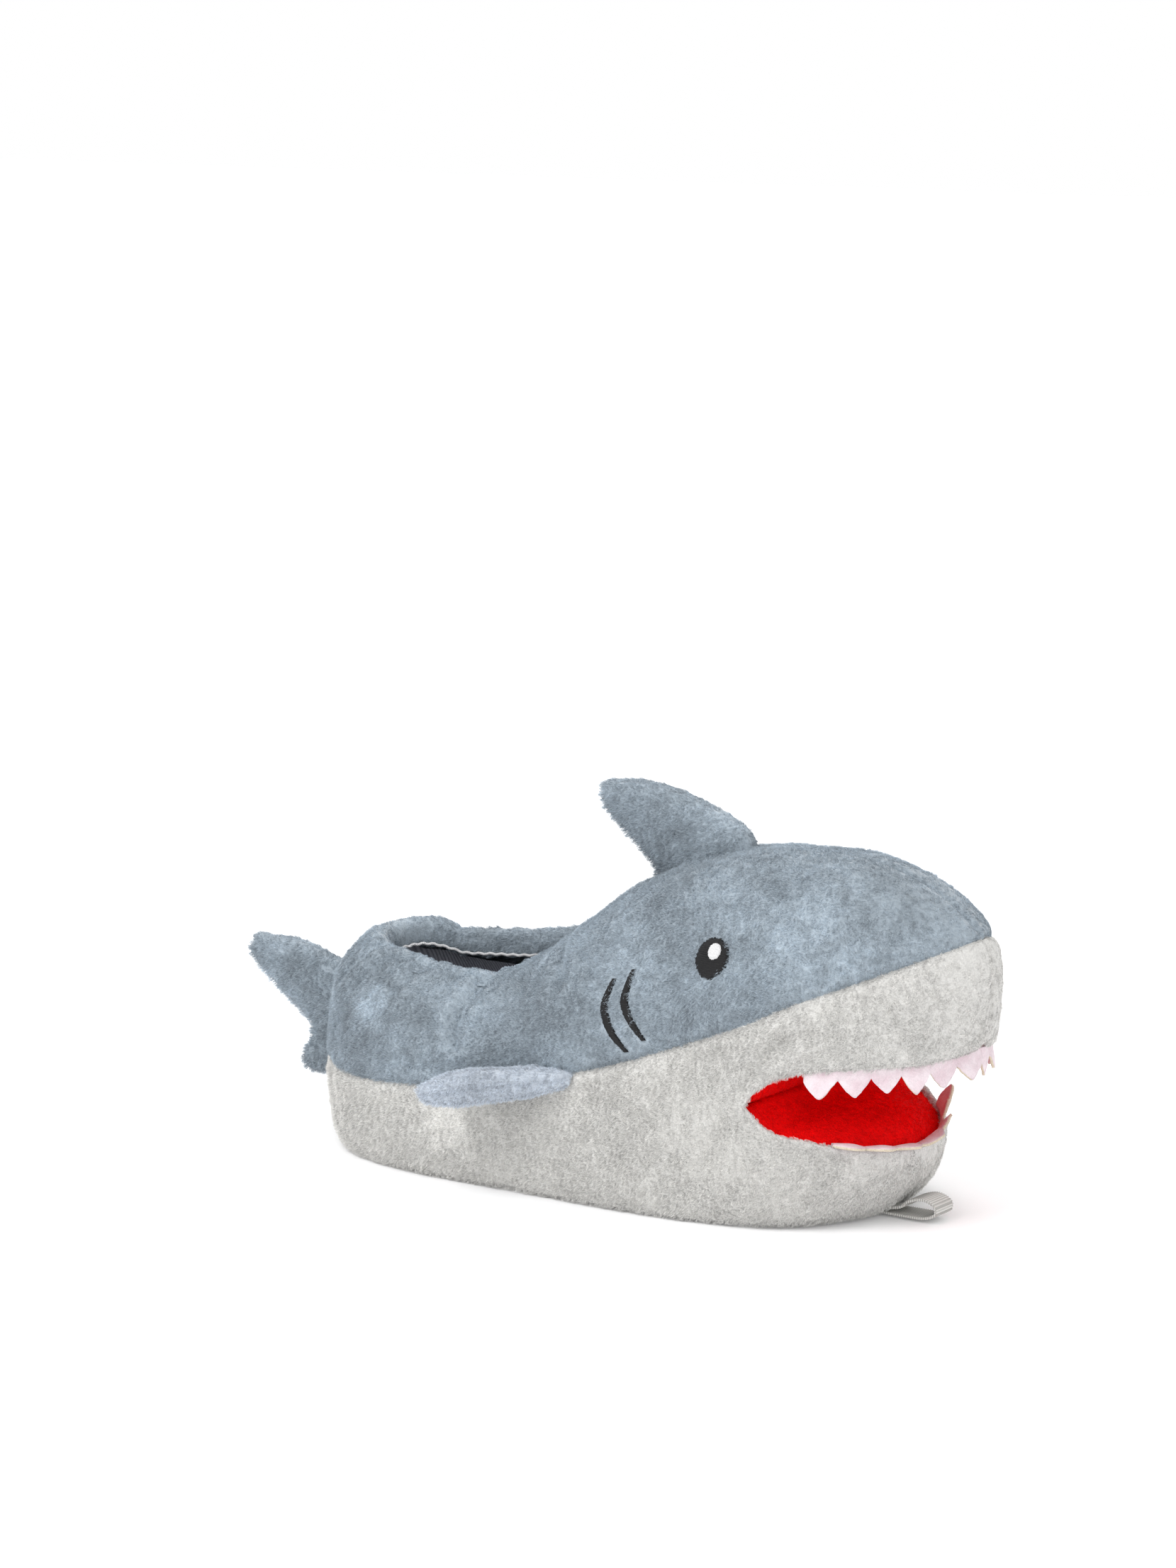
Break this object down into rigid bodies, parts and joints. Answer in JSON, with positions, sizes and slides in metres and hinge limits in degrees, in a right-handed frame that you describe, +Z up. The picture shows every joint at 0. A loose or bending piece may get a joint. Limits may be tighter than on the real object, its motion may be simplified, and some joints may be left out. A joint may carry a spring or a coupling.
{
  "type": "plush shark slipper",
  "caption": "Shark-shaped plush slipper: the foot goes in at the back, and the stuffed head has an open mouth with felt teeth, embroidered eyes and gills, and fins.",
  "frame": {"origin": "on the sole's rest face, midway between the sides, under the front end of the foot opening", "axes": "+X towards the shark's nose, +Y to the shark's left, +Z up, with the sole on z = 0"},
  "size_m": [0.32, 0.158, 0.1414],
  "materials": {
    "plush_blue": "short-pile plush, blue-grey",
    "plush_grey": "short-pile plush, pale grey",
    "plush_red": "short-pile plush, red",
    "felt_white": "felt, off-white",
    "thread_black": "satin stitch, near black",
    "thread_white": "satin stitch, white",
    "lining_grey": "ribbed knit, grey",
    "foam": "open-cell foam, matte",
    "fibre": "loose polyester filling, matte",
    "outsole": "thin soft sole, matte",
    "ribbon_grey": "grosgrain ribbon, pale grey"
  },
  "bodies": {
    "body": {"back_panel_right": "plush_blue", "belly_panel_right": "plush_grey", "jaw_panel_right": "plush_grey", "eye_right": "thread_black", "gill_rear_right": "thread_black", "gill_front_right": "thread_black", "eye_spot_right": "thread_white", "lining_right": "lining_grey", "side_foam_right": "foam", "back_panel_left": "plush_blue", "belly_panel_left": "plush_grey", "jaw_panel_left": "plush_grey", "eye_left": "thread_black", "gill_rear_left": "thread_black", "gill_front_left": "thread_black", "eye_spot_left": "thread_white", "lining_left": "lining_grey", "side_foam_left": "foam", "collar_facing": "plush_blue", "mouth_floor": "plush_red", "lower_teeth": "felt_white", "head_filling": "fibre", "toe_foam": "foam", "midsole": "foam", "insole": "lining_grey", "outsole": "outsole", "toe_ribbon": "ribbon_grey"},
    "snout": {"snout_top_right": "plush_blue", "snout_top_left": "plush_blue", "snout_lip_right": "plush_grey", "snout_lip_left": "plush_grey", "snout_filling": "fibre", "mouth_roof": "plush_red", "upper_teeth": "felt_white"},
    "dorsal_fin": {"dorsal_fin_right": "plush_blue", "dorsal_fin_left": "plush_blue", "dorsal_fin_filling": "fibre"},
    "tail_fin": {"tail_fin_right": "plush_blue", "tail_fin_left": "plush_blue", "tail_fin_filling": "fibre"},
    "pectoral_right": {"pectoral_fin_right_top": "plush_blue", "pectoral_fin_right_under": "plush_blue", "pectoral_fin_right_filling": "fibre"},
    "pectoral_left": {"pectoral_fin_left_top": "plush_blue", "pectoral_fin_left_under": "plush_blue", "pectoral_fin_left_filling": "fibre"}
  },
  "joints": [
    {"name": "snout_press", "type": "hinge", "parent": "body", "child": "snout", "pos_m": [0.082, 0, 0.043], "axis": [0, 1, 0], "range_deg": [0, 16], "stiffness_Nm_per_rad": 2, "springref_deg": -1.72},
    {"name": "dorsal_tilt", "type": "hinge", "parent": "body", "child": "dorsal_fin", "pos_m": [0.032, 0, 0.1164], "axis": [0.9432, 0, 0.3324], "range_deg": [-30, 30], "stiffness_Nm_per_rad": 0.08},
    {"name": "tail_swing", "type": "hinge", "parent": "body", "child": "tail_fin", "pos_m": [-0.124, 0, 0.036], "axis": [0, 0, 1], "range_deg": [-35, 35], "stiffness_Nm_per_rad": 0.08},
    {"name": "pectoral_flap_right", "type": "hinge", "parent": "body", "child": "pectoral_right", "pos_m": [0.003, -0.0592, 0.0442], "axis": [0.9867, 0.0395, 0.1579], "range_deg": [-25, 25], "stiffness_Nm_per_rad": 0.06},
    {"name": "pectoral_flap_left", "type": "hinge", "parent": "body", "child": "pectoral_left", "pos_m": [0.003, 0.0592, 0.0442], "axis": [0.9867, -0.0395, 0.1579], "range_deg": [-25, 25], "stiffness_Nm_per_rad": 0.06}
  ]
}
